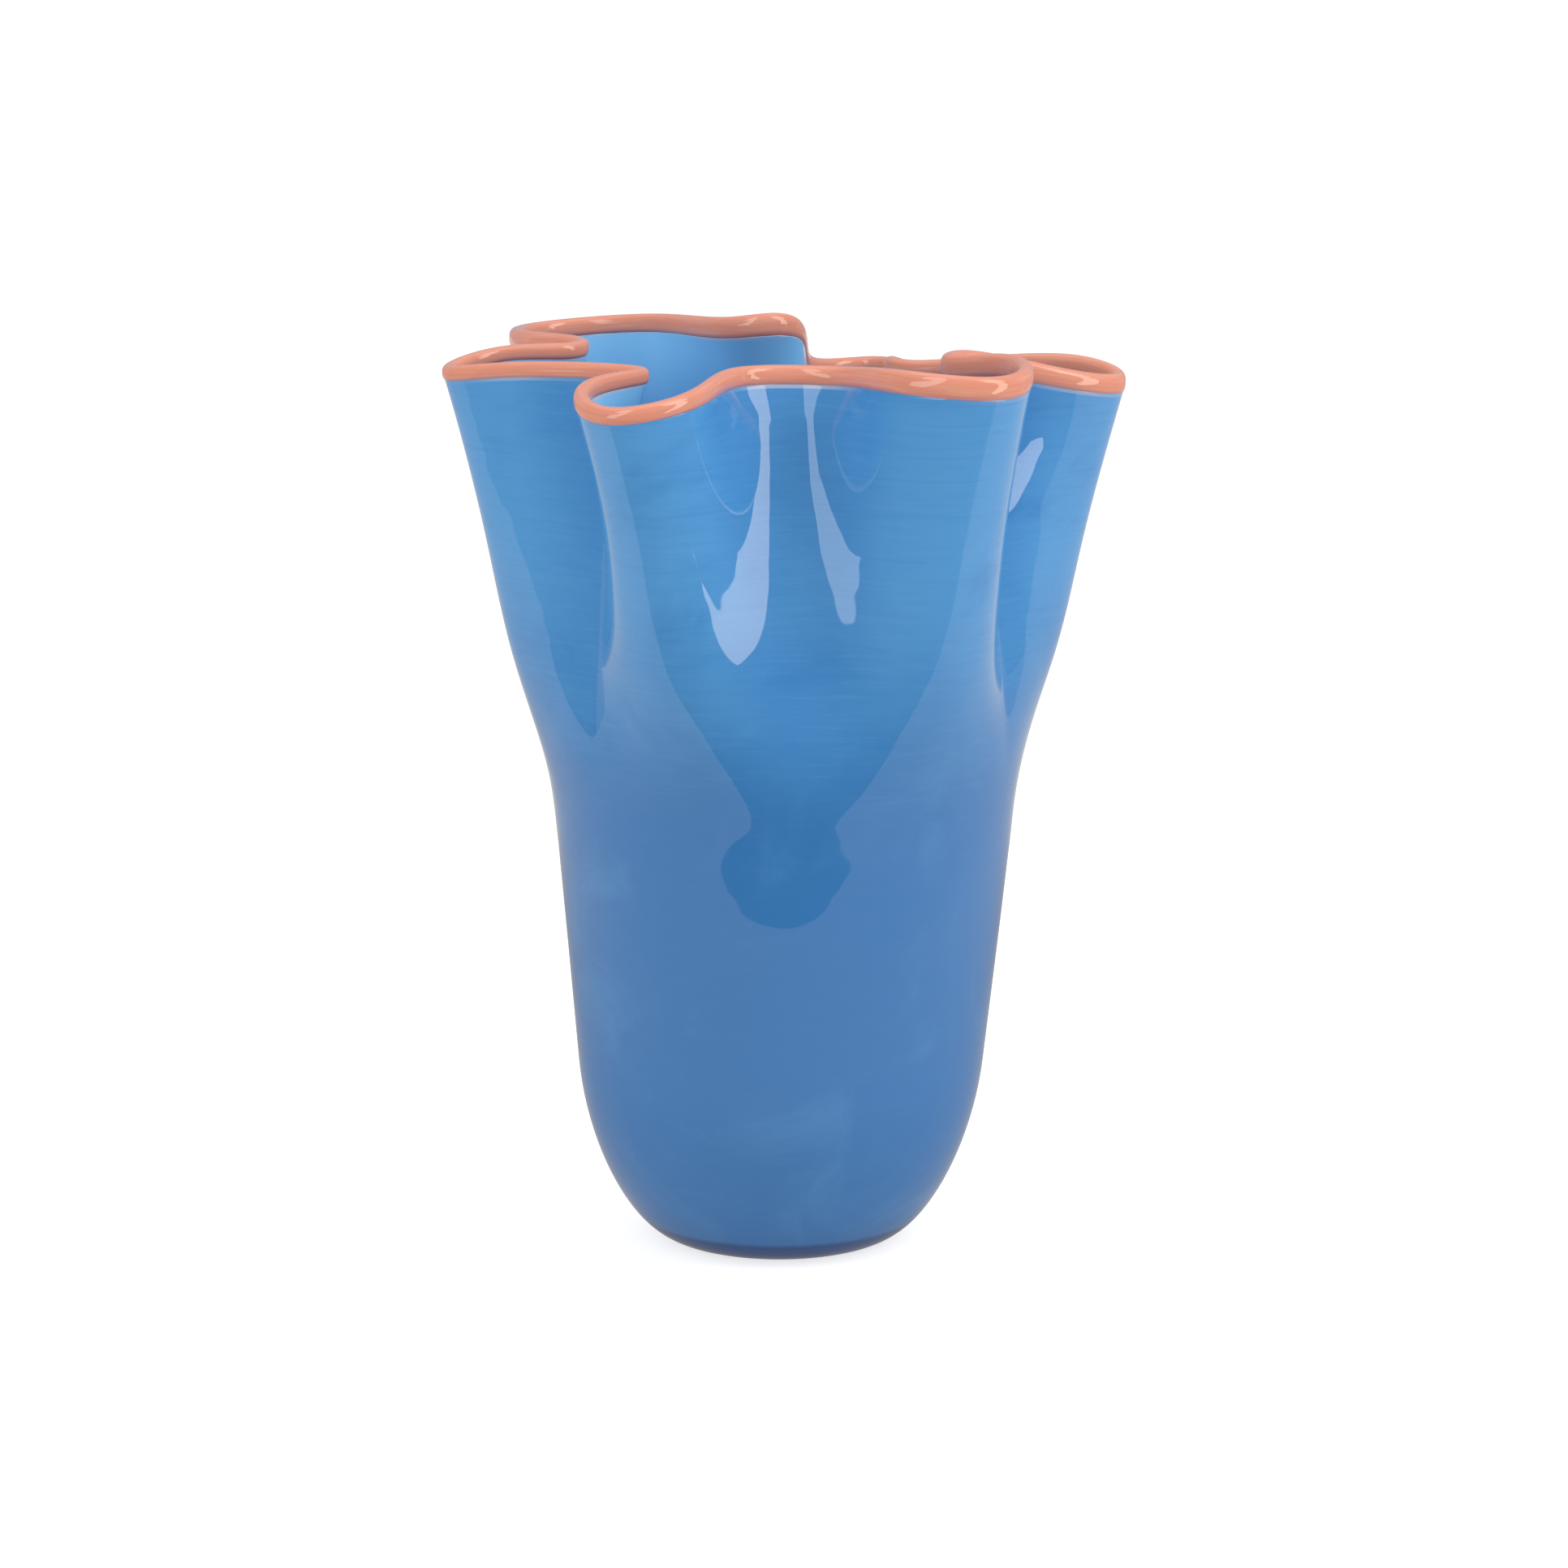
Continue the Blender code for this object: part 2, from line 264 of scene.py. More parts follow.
class VaseColours(bpy.types.PropertyGroup):
    """Colours of the two glasses, as linear values."""

    # Paler than the folds and the body: partly thin glass, partly painted light that shines through
    # the lobes and falls on the upper wall
    blue_thin_and_lit: bpy.props.FloatVectorProperty(
        name="Blue, lobes", description="Blue glass where it is stretched thin in the lobes",
        default=(0.100, 0.348, 0.700), size=3, min=0.0, max=1.0, subtype="COLOR")
    blue_fold: bpy.props.FloatVectorProperty(
        name="Blue, folds", description="Blue glass where it gathers in the folds",
        default=(0.074, 0.280, 0.605), size=3, min=0.0, max=1.0, subtype="COLOR")
    blue_low: bpy.props.FloatVectorProperty(
        name="Blue, body", description="Blue glass of the round lower body",
        default=(0.042, 0.198, 0.488), size=3, min=0.0, max=1.0, subtype="COLOR")
    # Darker than the body: painted shade, the shadow under the vase as the glass would mirror it
    blue_base_shaded: bpy.props.FloatVectorProperty(
        name="Blue, base", description="Blue glass of the thick base",
        default=(0.006, 0.064, 0.235), size=3, min=0.0, max=1.0, subtype="COLOR")
    blue_wisp: bpy.props.FloatVectorProperty(
        name="Blue, wisps", description="Pale wisps that run round the body",
        default=(0.125, 0.375, 0.700), size=3, min=0.0, max=1.0, subtype="COLOR")
    blue_deep: bpy.props.FloatVectorProperty(
        name="Blue, depths", description="Deeper blue between the wisps",
        default=(0.032, 0.195, 0.510), size=3, min=0.0, max=1.0, subtype="COLOR")
    # Painted light: the inner face is paler to stand in for the light that shines through the wall
    # into the mouth
    blue_inner_glow: bpy.props.FloatVectorProperty(
        name="Blue, lining", description="Paler glass of the inner face, which light comes through",
        default=(0.270, 0.640, 0.980), size=3, min=0.0, max=1.0, subtype="COLOR")
    # Clear glass at the joint, its paleness a painted reflection of light in the fillet under the
    # trail
    seam: bpy.props.FloatVectorProperty(
        name="Lip seam", description="Pale line of clear glass just under the trail",
        default=(0.500, 0.560, 0.680), size=3, min=0.0, max=1.0, subtype="COLOR")
    coral: bpy.props.FloatVectorProperty(
        name="Coral", description="Coral glass of the lip trail",
        default=(0.790, 0.300, 0.200), size=3, min=0.0, max=1.0, subtype="COLOR")
    coral_pale: bpy.props.FloatVectorProperty(
        name="Coral, pale", description="Pale threads along the trail",
        default=(0.840, 0.390, 0.275), size=3, min=0.0, max=1.0, subtype="COLOR")
    coral_edge: bpy.props.FloatVectorProperty(
        name="Coral, edge", description="Mauve lower edge where the trail lies over the blue",
        default=(0.520, 0.225, 0.260), size=3, min=0.0, max=1.0, subtype="COLOR")


class StageSettings(bpy.types.PropertyGroup):
    """Light and colour of the plain white studio."""

    ambient: bpy.props.FloatProperty(
        name="Ambient", description="Strength of the even light from all round",
        default=0.66, min=0.0)
    left_power: bpy.props.FloatProperty(
        name="Left power", description="Power of the left front lamp",
        default=8.0, min=0.0, unit="POWER")
    right_power: bpy.props.FloatProperty(
        name="Right power", description="Power of the right front lamp",
        default=13.0, min=0.0, unit="POWER")
    lamp_height: bpy.props.FloatProperty(
        name="Lamp height", description="Height of the two lamps above the table",
        default=1.2, unit="LENGTH", subtype="DISTANCE")
    right_glow: bpy.props.FloatProperty(
        name="Right glow", description="Brightness of the right light in the glass",
        default=5.15, min=0.0)
    left_glow: bpy.props.FloatProperty(
        name="Left glow", description="Brightness of the left light in the glass",
        default=3.45, min=0.0)
    shade: bpy.props.FloatProperty(
        name="Shade", description="Brightness of the unlit room in the glass",
        default=0.15, min=0.0)
    table_glow: bpy.props.FloatProperty(
        name="Table glow", description="Brightness of the table top in the glass",
        default=1.0, min=0.0)
    wall_glow: bpy.props.FloatProperty(
        name="Wall glow", description="Brightness of the studio's walls in the glass",
        default=0.50, min=0.0)
    warmth: bpy.props.FloatVectorProperty(
        name="Warmth", description="Tint of the table in the glass",
        default=(1.0, 0.93, 0.86), size=3, min=0.0, max=1.0, subtype="COLOR")
    right_tint: bpy.props.FloatVectorProperty(
        name="Right tint", description="Tint of the right light in the glass",
        default=(1.0, 0.91, 0.81), size=3, min=0.0, max=1.0, subtype="COLOR")
    coolness: bpy.props.FloatVectorProperty(
        name="Coolness", description="Tint of the studio's walls in the glass",
        default=(0.84, 0.86, 1.0), size=3, min=0.0, max=1.0, subtype="COLOR")
    table_front: bpy.props.FloatProperty(
        name="Table front", description="Distance from the vase to the table's front edge",
        default=0.330, unit="LENGTH", subtype="DISTANCE")
    table_side: bpy.props.FloatProperty(
        name="Table side", description="Distance from the vase to each side edge of the table",
        default=0.90, unit="LENGTH", subtype="DISTANCE")


def smooth_step(value):
    value = min(max(value, 0.0), 1.0)
    return value * value * (3.0 - 2.0 * value)


def direction(azimuth):
    """Unit vector out from the axis, in plan."""
    return np.array((math.sin(azimuth), -math.cos(azimuth)))


def lip_controls(sizes):
    """Control points of the lip, each as x, y, z and trail depth, and the row among them and the
    azimuth of each lobe's tip."""
    controls = []
    tips = []
    for item in LIP:
        azimuth = math.radians(item.azimuth)
        out = direction(azimuth)
        along = direction(azimuth + math.pi / 2)
        height = sizes.lip_height + sizes.lip_rise * item.rise
        trail = sizes.trail_depth * item.trail
        if isinstance(item, Lobe):
            half = sizes.lobe_width * item.width / 2
            tip = out * sizes.lobe_reach * item.reach
            middle = tip - out * half
            tips.append((len(controls) + 1, azimuth))
            controls.append((*(middle - along * half), height, trail))
            controls.append((*tip, height - sizes.tip_droop * item.droop, trail))
            controls.append((*(middle + along * half), height, trail))
        else:
            half = sizes.fold_width * item.width / 2
            middle = out * sizes.fold_reach * item.reach
            controls.append((*(middle - along * half), height, trail))
            controls.append((*(middle + along * half), height, trail))
    return np.array(controls), tips


def body_turns(controls, tips):
    """Azimuth at which each control point's wall leaves the round body.

    The tips leave it evenly round the axis, and the points between two tips follow the length of
    the lip.
    """
    steps = np.linalg.norm(np.diff(controls[:, :2], axis=0, append=controls[:1, :2]), axis=1)
    length = steps.sum()
    along = np.cumsum(steps) - steps
    even = 2 * math.pi * np.arange(len(tips)) / len(tips)
    even += np.mean([azimuth for row, azimuth in tips]) - even.mean()
    tip_along = [along[row] for row, azimuth in tips]
    tip_along = [tip_along[-1] - length, *tip_along, tip_along[0] + length]
    tip_turns = [even[-1] - 2 * math.pi, *even, even[0] + 2 * math.pi]
    return np.interp(along, tip_along, tip_turns)


def spline_bends(knots, values, closed):
    """Second derivatives of the cubic spline through the values, closed or with a level start."""
    count = len(values)
    matrix = np.zeros((count, count))
    right = np.zeros_like(values)
    steps = np.diff(knots)
    for row in range(count):
        before = steps[row - 1]
        after = steps[row % len(steps)]
        if not closed and row == 0:
            matrix[0, 0] = 2 * after
            matrix[0, 1] = after
            right[0] = 6 * (values[1] - values[0]) / after
            continue
        if not closed and row == count - 1:
            matrix[row, row] = 1.0
            continue
        following = (row + 1) % count
        matrix[row, row - 1] = before
        matrix[row, row] = 2 * (before + after)
        matrix[row, following] = after
        slope_after = (values[following] - values[row]) / after
        slope_before = (values[row] - values[row - 1]) / before
        right[row] = 6 * (slope_after - slope_before)
    return np.linalg.solve(matrix, right)


def spline_point(knots, values, bends, at):
    """The spline's value at one knot position."""
    row = min(int(np.searchsorted(knots, at, side="right")) - 1, len(knots) - 2)
    following = (row + 1) % len(values)
    step = knots[row + 1] - knots[row]
    near = (knots[row + 1] - at) / step
    far = (at - knots[row]) / step
    straight = near * values[row] + far * values[following]
    curve = (near**3 - near) * bends[row] + (far**3 - far) * bends[following]
    return straight + curve * step * step / 6


def lip_stations(sizes):
    """Stations round the lip, each as x, y, z, trail depth and azimuth on the round body."""
    controls, tips = lip_controls(sizes)
    turns = body_turns(controls, tips)
    spans = np.linalg.norm(np.diff(controls[:, :3], axis=0, append=controls[:1, :3]), axis=1)
    knots = np.concatenate(([0.0], np.cumsum(np.sqrt(spans))))
    even_turns = 2 * math.pi * knots[:-1] / knots[-1]
    values = np.column_stack((controls, turns - even_turns))
    bends = spline_bends(knots, values, closed=True)
    stations = []
    for step in range(STATIONS):
        at = knots[-1] * step / STATIONS
        station = spline_point(knots, values, bends, at)
        station[4] += 2 * math.pi * step / STATIONS
        stations.append(station)
    return np.array(stations)


def normals(ring):
    """Outward unit normals in plan of a closed ring that runs anticlockwise from above."""
    tangent = np.roll(ring[:, :2], -1, axis=0) - np.roll(ring[:, :2], 1, axis=0)
    tangent /= np.linalg.norm(tangent, axis=1)[:, None]
    return np.column_stack((tangent[:, 1], -tangent[:, 0], np.zeros(len(ring))))


class Bubble:
    """The blown shape, as rings of points from the foot to the lip.

    Each ring comes in a pair with the round ring that its glass was drawn from.
    """

    def __init__(self, sizes):
        self.sizes = sizes
        self.stations = lip_stations(sizes)
        self.turns = self.stations[:, 4]
        self.flare_shares, self.flare_values = np.array(FLARE).T.copy()
        self.flare_bends = spline_bends(self.flare_shares, self.flare_values, closed=False)

    def flare(self, share):
        if share <= 0.0:
            return 0.0
        value = spline_point(self.flare_shares, self.flare_values, self.flare_bends, share)
        return max(value, 0.0)

    def eased_flare(self, share):
        """The flare, evened out where the plain side runs into it."""
        reach = EASE * (1.0 - smooth_step((share - EASE_ENDS) / EASE_ENDS_OVER))
        offsets = np.linspace(-1.0, 1.0, EASE_STEPS)
        weights = (1.0 - offsets**2) ** 2
        values = [self.flare(share + reach * offset) for offset in offsets]
        return float(np.dot(weights, values) / weights.sum())

    def side_radius(self, height):
        return self.sizes.side_radius + self.sizes.side_taper * height

    def unruffled(self, radius, height):
        """A ring of the bubble before it was ruffled, round and centred."""
        plan = np.column_stack((np.sin(self.turns), -np.cos(self.turns)))
        heights = np.broadcast_to(height, self.turns.shape)
        return np.column_stack((plan * np.reshape(radius, (-1, 1)), heights))

    def round_ring(self, radius, height):
        ring = self.unruffled(radius, height)
        ring[:, 0] += self.sizes.lean * smooth_step(height / self.sizes.ruffle_start)
        return ring

    def corner(self, flat_radius, floor, inset):
        """Rings of the elliptical corner between a flat floor and the side."""
        sizes = self.sizes
        sweep = sizes.side_radius - inset - flat_radius
        for row in range(CORNER_ROWS + 1):
            angle = math.pi / 2 * row / CORNER_ROWS
            height = floor + sizes.corner_height * (1 - math.cos(angle))
            taper = sizes.side_taper * height * math.sin(angle)
            radius = flat_radius + sweep * math.sin(angle) + taper
            yield self.round_ring(radius, height), self.unruffled(radius, height)

    def side(self, floor, inset):
        """Rings of the plain tapered side between the corner and the ruffles."""
        start = floor + self.sizes.corner_height
        end = self.sizes.ruffle_start - EASE * (self.sizes.lip_height - self.sizes.ruffle_start)
        for row in range(1, SIDE_ROWS):
            height = start + (end - start) * row / SIDE_ROWS
            radius = self.side_radius(height) - inset
            yield self.round_ring(radius, height), self.unruffled(radius, height)

    def ruffles(self, offset):
        """Rings of the ruffled wall, offset from the wall's middle.

        The lip is the funnel's round edge plus waves round the mouth. Going up, the funnel follows
        the flare, the waves that make the folds come later, and the finest only near the lip.
        """
        sizes = self.sizes
        lip = self.stations[:, :3] + (sizes.lean, 0.0, 0.0)
        out = np.sin(self.turns) - 1j * np.cos(self.turns)
        top_radius = self.side_radius(lip[:, 2]) - sizes.wall / 2
        funnel = sizes.lobe_reach - top_radius.mean()
        folded = (lip[:, 0] - sizes.lean + 1j * lip[:, 1]) / out - top_radius - funnel
        waves = np.fft.fft(folded)
        waves_round = np.abs(np.fft.fftfreq(STATIONS, 1 / STATIONS))
        lateness = sizes.fold_delay * np.maximum(waves_round / LOBE_COUNT, 1.0) ** sizes.fade_power
        shares = [*np.linspace(-EASE, 1.0, RUFFLE_ROWS), 1.0]
        shares[-2] -= HIDDEN_EDGE
        for share in shares:
            height = sizes.ruffle_start + (lip[:, 2] - sizes.ruffle_start) * share
            opened = self.eased_flare(share)
            moved = funnel * opened + np.fft.ifft(waves * opened**lateness)
            plan = out * (self.side_radius(height) - sizes.wall / 2 + moved)
            ring = np.column_stack((plan.real + sizes.lean, plan.imag, height))
            drawn = self.unruffled(self.side_radius(height), height)
            yield ring + normals(ring) * offset, drawn


def grid_mesh(name, rings, closed):
    """A mesh of quads between each ring of points and the next.

    Closed, it runs on from the last ring to the first. Else a face closes it at each end.
    """
    count = len(rings[0])
    points = np.concatenate(rings)
    here = np.arange(count)
    after = (here + 1) % count
    faces = []
    for row in range(len(rings) - 1):
        low = row * count
        high = low + count
        faces.append(np.column_stack((low + here, low + after, high + after, high + here)))
    if closed:
        low = (len(rings) - 1) * count
        faces.append(np.column_stack((low + here, low + after, after, here)))
    polygons = np.concatenate(faces).tolist()
    if not closed:
        polygons.append(here[::-1].tolist())
        polygons.append((here + (len(rings) - 1) * count).tolist())
    mesh = bpy.data.meshes.new(name)
    mesh.from_pydata(points.tolist(), [], polygons)
    mesh.validate()
    mesh.shade_smooth()
    return mesh


def store(mesh, name, values, kind="FLOAT"):
    """Keeps one value for each point of the mesh, for its material to read."""
    layer = mesh.attributes.new(name, kind, "POINT")
    field = "vector" if kind == "FLOAT_VECTOR" else "value"
    layer.data.foreach_set(field, np.ascontiguousarray(values, dtype=np.float32).ravel())


def place(name, mesh, material, node):
    """Puts a finished piece in the place of the solid that it stands for."""
    mesh.materials.append(material)
    piece = bpy.data.objects.new(name, mesh)
    bpy.context.scene.collection.objects.link(piece)
    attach(piece, "root")
    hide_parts(node)


class Recipe:
    """A material's node tree, with short calls for the nodes that the glasses use."""

    def __init__(self, name):
        self.material = bpy.data.materials.new(name)
        self.material.use_nodes = True
        self.tree = self.material.node_tree
        self.shader = self.tree.nodes["Principled BSDF"]

    def node(self, kind, **settings):
        made = self.tree.nodes.new(kind)
        for key, value in settings.items():
            setattr(made, key, value)
        return made

    def join(self, source, target):
        self.tree.links.new(source, target)

    def feed(self, target, value):
        """Sets a socket to a number or colour, or joins another socket to it."""
        if isinstance(value, bpy.types.NodeSocket):
            self.join(value, target)
        else:
            target.default_value = value

    def attribute(self, name, output):
        return self.node("ShaderNodeAttribute", attribute_name=name).outputs[output]

    def noise(self, vector, scales, detail, roughness, distortion):
        stretch = self.node("ShaderNodeVectorMath", operation="MULTIPLY")
        self.feed(stretch.inputs[0], vector)
        stretch.inputs[1].default_value = scales
        noise = self.node("ShaderNodeTexNoise")
        self.join(stretch.outputs[0], noise.inputs["Vector"])
        noise.inputs["Scale"].default_value = 1.0
        noise.inputs["Detail"].default_value = detail
        noise.inputs["Roughness"].default_value = roughness
        noise.inputs["Distortion"].default_value = distortion
        return noise.outputs["Fac"]

    def ramp(self, value, low, high, to_low=0.0, to_high=1.0):
        """A smooth rise of one value while another goes from low to high."""
        ramp = self.node("ShaderNodeMapRange", interpolation_type="SMOOTHSTEP")
        self.feed(ramp.inputs["Value"], value)
        ramp.inputs["From Min"].default_value = low
        ramp.inputs["From Max"].default_value = high
        self.feed(ramp.inputs["To Min"], to_low)
        self.feed(ramp.inputs["To Max"], to_high)
        return ramp.outputs["Result"]

    def times(self, first, second):
        product = self.node("ShaderNodeMath", operation="MULTIPLY")
        self.feed(product.inputs[0], first)
        self.feed(product.inputs[1], second)
        return product.outputs[0]

    def blend(self, share, first, second):
        mix = self.node("ShaderNodeMix", data_type="RGBA")
        self.feed(mix.inputs["Factor"], share)
        sockets = [socket for socket in mix.inputs if socket.type == "RGBA"]
        for socket, value in zip(sockets, (first, second)):
            self.feed(socket, value if isinstance(value, bpy.types.NodeSocket) else (*value, 1.0))
        return next(socket for socket in mix.outputs if socket.type == "RGBA")

    def bump(self, height, distance):
        bump = self.node("ShaderNodeBump")
        bump.inputs["Strength"].default_value = 1.0
        bump.inputs["Distance"].default_value = distance
        self.join(height, bump.inputs["Height"])
        return bump.outputs["Normal"]


def blue_glass(colours):
    """Blue glass cased in clear: cloudy below, with fine pale wisps round the ruffles."""
    recipe = Recipe("blue_glass")
    bubble = recipe.attribute("bubble", "Vector")
    below_lip = recipe.attribute("below_lip", "Fac")
    split = recipe.node("ShaderNodeSeparateXYZ")
    recipe.join(bubble, split.inputs[0])
    height = split.outputs["Z"]
    # Lobes paler than folds, and ruffles paler than the body: partly thinner glass, partly painted
    # light on and through the upper wall
    stretched = recipe.ramp(recipe.attribute("stretch", "Fac"), *STRETCHED_THIN)
    ruffles = recipe.blend(stretched, colours.blue_fold, colours.blue_thin_and_lit)
    body = recipe.blend(recipe.ramp(height, *RUFFLES_BEGIN), colours.blue_low, ruffles)
    # Broad clouds, then long fine wisps that only show where the glass is drawn out
    cloud = recipe.noise(bubble, *CLOUDS)
    cloudy = recipe.blend(recipe.ramp(cloud, *PALE_CLOUDS), body, colours.blue_wisp)
    deep = recipe.blend(recipe.ramp(cloud, *DEEP_CLOUDS), cloudy, colours.blue_deep)
    wisp = recipe.noise(bubble, *WISPS)
    drawn = recipe.ramp(height, *WISPS_DRAWN_OUT)
    pale = recipe.times(recipe.ramp(wisp, *PALE_WISPS), drawn)
    dark = recipe.times(recipe.ramp(wisp, *DEEP_WISPS), drawn)
    wisps = recipe.blend(pale, deep, colours.blue_wisp)
    wisps = recipe.blend(dark, wisps, colours.blue_deep)
    # The inner face's paler blue, which is painted light shining through the wall and fades deeper
    # in the mouth as painted shade; the darker base, which is painted shade of the shadow under the
    # vase mirrored in the glass; and the pale line of clear glass where the trail sits on the lip,
    # made pale by a painted reflection
    inner_glow = recipe.ramp(below_lip, *INNER_GLOW_BELOW_LIP)
    inside = recipe.times(recipe.attribute("inside", "Fac"), inner_glow)
    inner_glow_blue = recipe.blend(inside, wisps, colours.blue_inner_glow)
    # Painted shade at the foot: the shadow under the vase mirrored in the glass
    base = recipe.blend(recipe.ramp(height, *SHADED_BASE), inner_glow_blue, colours.blue_base_shaded)
    # Painted reflection: a pale line of clear glass under the trail, showing only in places
    seam_shows = recipe.ramp(recipe.noise(bubble, *SEAM_BREAKS), *SEAM_SHOWS)
    seam_glint_line = recipe.times(recipe.ramp(below_lip, *SEAM_GLINT_BELOW_LIP), seam_shows)
    seam = recipe.blend(seam_glint_line, base, colours.seam)
    shader = recipe.shader
    recipe.join(seam, shader.inputs["Base Color"])
    # Fire-polished all over, but for the foot, which is ground flat
    polish = recipe.ramp(cloud, *BLUE_POLISH)
    ground = recipe.ramp(height, GROUND_TOP, POLISH_FROM, GROUND_ROUGHNESS, polish)
    recipe.join(ground, shader.inputs["Roughness"])
    shader.inputs["IOR"].default_value = GLASS_IOR
    ripple = recipe.noise(bubble, *BLUE_RIPPLES)
    recipe.join(recipe.bump(ripple, BLUE_RIPPLE_DEPTH), shader.inputs["Normal"])
    return recipe.material


def coral_glass(colours):
    """Coral glass: pale threads along the trail, and a mauve edge where it thins over the blue."""
    recipe = Recipe("coral_glass")
    thread_at = recipe.attribute("thread", "Vector")
    climb = recipe.attribute("climb", "Fac")
    thread = recipe.noise(thread_at, *THREADS)
    body = recipe.blend(recipe.ramp(thread, *PALE_THREADS), colours.coral, colours.coral_pale)
    patch = recipe.noise(thread_at, *CORAL_PATCHES)
    mauve = recipe.times(recipe.ramp(climb, *MAUVE_EDGE), recipe.ramp(patch, *MAUVE_PATCHES))
    edge = recipe.blend(mauve, body, colours.coral_edge)
    shader = recipe.shader
    recipe.join(edge, shader.inputs["Base Color"])
    recipe.join(recipe.ramp(patch, *CORAL_POLISH), shader.inputs["Roughness"])
    shader.inputs["IOR"].default_value = GLASS_IOR
    ripple = recipe.noise(thread_at, *CORAL_RIPPLES)
    recipe.join(recipe.bump(ripple, CORAL_RIPPLE_DEPTH), shader.inputs["Normal"])
    return recipe.material


class VASE_OT_glass_body(bpy.types.Operator):
    """Blow the blue body: its outer face to the lip, and its inner face down to the floor"""

    bl_idname = "vase.glass_body"
    bl_label = "Glass body"

    def execute(self, context):
        sizes = context.scene.vase_sizes
        bubble = Bubble(sizes)
        outer = [*bubble.corner(sizes.foot_radius, 0.0, 0.0), *bubble.side(0.0, 0.0)]
        outer += bubble.ruffles(sizes.wall / 2)
        inner = [*bubble.corner(sizes.floor_radius, sizes.base, sizes.wall)]
        inner += [*bubble.side(sizes.base, sizes.wall), *bubble.ruffles(-sizes.wall / 2)]
        rows = outer + inner[::-1]
        mesh = grid_mesh("vase_glass", [ring for ring, drawn in rows], closed=False)
        store(mesh, "bubble", np.concatenate([drawn for ring, drawn in rows]), "FLOAT_VECTOR")
        lip = bubble.stations[:, 2]
        store(mesh, "below_lip", np.concatenate([lip - ring[:, 2] for ring, drawn in rows]))
        reach = np.concatenate(
            [np.hypot(ring[:, 0] - sizes.lean, ring[:, 1]) for ring, drawn in rows])
        round_reach = np.concatenate(
            [np.hypot(drawn[:, 0], drawn[:, 1]) for ring, drawn in rows])
        store(mesh, "stretch", reach / round_reach)
        store(mesh, "inside", np.repeat([0.0] * len(outer) + [1.0] * len(inner), STATIONS))
        place("vase_glass", mesh, blue_glass(context.scene.vase_colours), "vase_body")
        return {"FINISHED"}


class VASE_OT_lip_trail(bpy.types.Operator):
    """Wind the coral trail on the lip"""

    bl_idname = "vase.lip_trail"
    bl_label = "Lip trail"

    def execute(self, context):
        sizes = context.scene.vase_sizes
        bubble = Bubble(sizes)
        lip = bubble.stations[:, :3] + (sizes.lean, 0.0, 0.0)
        out = normals(lip)
        depth = bubble.stations[:, 3]
        half_width = sizes.wall / 2 + sizes.trail_overhang
        steps = np.linalg.norm(np.roll(lip, -1, axis=0) - lip, axis=1)
        along = np.cumsum(steps)
        rings = []
        threads = []
        climbs = []
        for side in range(TRAIL_SIDES):
            angle = 2 * math.pi * side / TRAIL_SIDES
            across = math.copysign(abs(math.cos(angle)) ** TRAIL_SQUARE, math.cos(angle))
            ring = lip + out * (half_width * across)
            climb = (1 + math.copysign(abs(math.sin(angle)) ** TRAIL_SQUARE, math.sin(angle))) / 2
            ring[:, 2] += (depth + sizes.trail_wrap) * climb - sizes.trail_wrap
            rings.append(ring)
            aside = np.full(STATIONS, half_width * across)
            threads.append(np.column_stack((along, aside, ring[:, 2] - lip[:, 2])))
            climbs.append(np.full(STATIONS, climb))
        mesh = grid_mesh("lip_trail", rings, closed=True)
        store(mesh, "thread", np.concatenate(threads), "FLOAT_VECTOR")
        store(mesh, "climb", np.concatenate(climbs))
        place("lip_trail", mesh, coral_glass(context.scene.vase_colours), "lip_wrap")
        return {"FINISHED"}


def sheet_mesh(name, corners):
    mesh = bpy.data.meshes.new(name)
    mesh.from_pydata([tuple(corner) for corner in corners], [], [(0, 1, 2, 3)])
    return mesh


def curved_mesh(name, distance, rows):
    """An upright sheet bent round the axis, from rows of height and two azimuths in degrees."""
    points = []
    for height, start, end in rows:
        for step in range(SHEET_STEPS + 1):
            azimuth = math.radians(start + (end - start) * step / SHEET_STEPS)
            points.append((distance * math.sin(azimuth), -distance * math.cos(azimuth), height))
    faces = []
    for row in range(len(rows) - 1):
        for step in range(SHEET_STEPS):
            here = row * (SHEET_STEPS + 1) + step
            above = here + SHEET_STEPS + 1
            faces.append((here, here + 1, above + 1, above))
    mesh = bpy.data.meshes.new(name)
    mesh.from_pydata(points, [], faces)
    return mesh


def stage_object(name, mesh, material):
    mesh.materials.append(material)
    piece = bpy.data.objects.new(name, mesh)
    bpy.context.scene.collection.objects.link(piece)
    return piece


def reflected(name, mesh, strength, colour, shade=()):
    """A glowing part of the studio that is only seen mirrored in the glass.

    Each row of shade holds a point, two distances from it, and the shares of the strength there.
    """
    recipe = Recipe(name)
    recipe.tree.nodes.remove(recipe.shader)
    emission = recipe.node("ShaderNodeEmission")
    emission.inputs["Color"].default_value = (*colour, 1.0)
    position = recipe.node("ShaderNodeNewGeometry").outputs["Position"]
    for middle, *change in shade:
        distance = recipe.node("ShaderNodeVectorMath", operation="DISTANCE")
        recipe.join(position, distance.inputs[0])
        distance.inputs[1].default_value = middle
        strength = recipe.times(strength, recipe.ramp(distance.outputs["Value"], *change))
    recipe.feed(emission.inputs["Strength"], strength)
    recipe.join(emission.outputs[0], recipe.tree.nodes["Material Output"].inputs["Surface"])
    piece = stage_object(name, mesh, recipe.material)
    piece.visible_camera = False
    piece.visible_diffuse = False
    piece.visible_shadow = False
    piece.visible_transmission = False


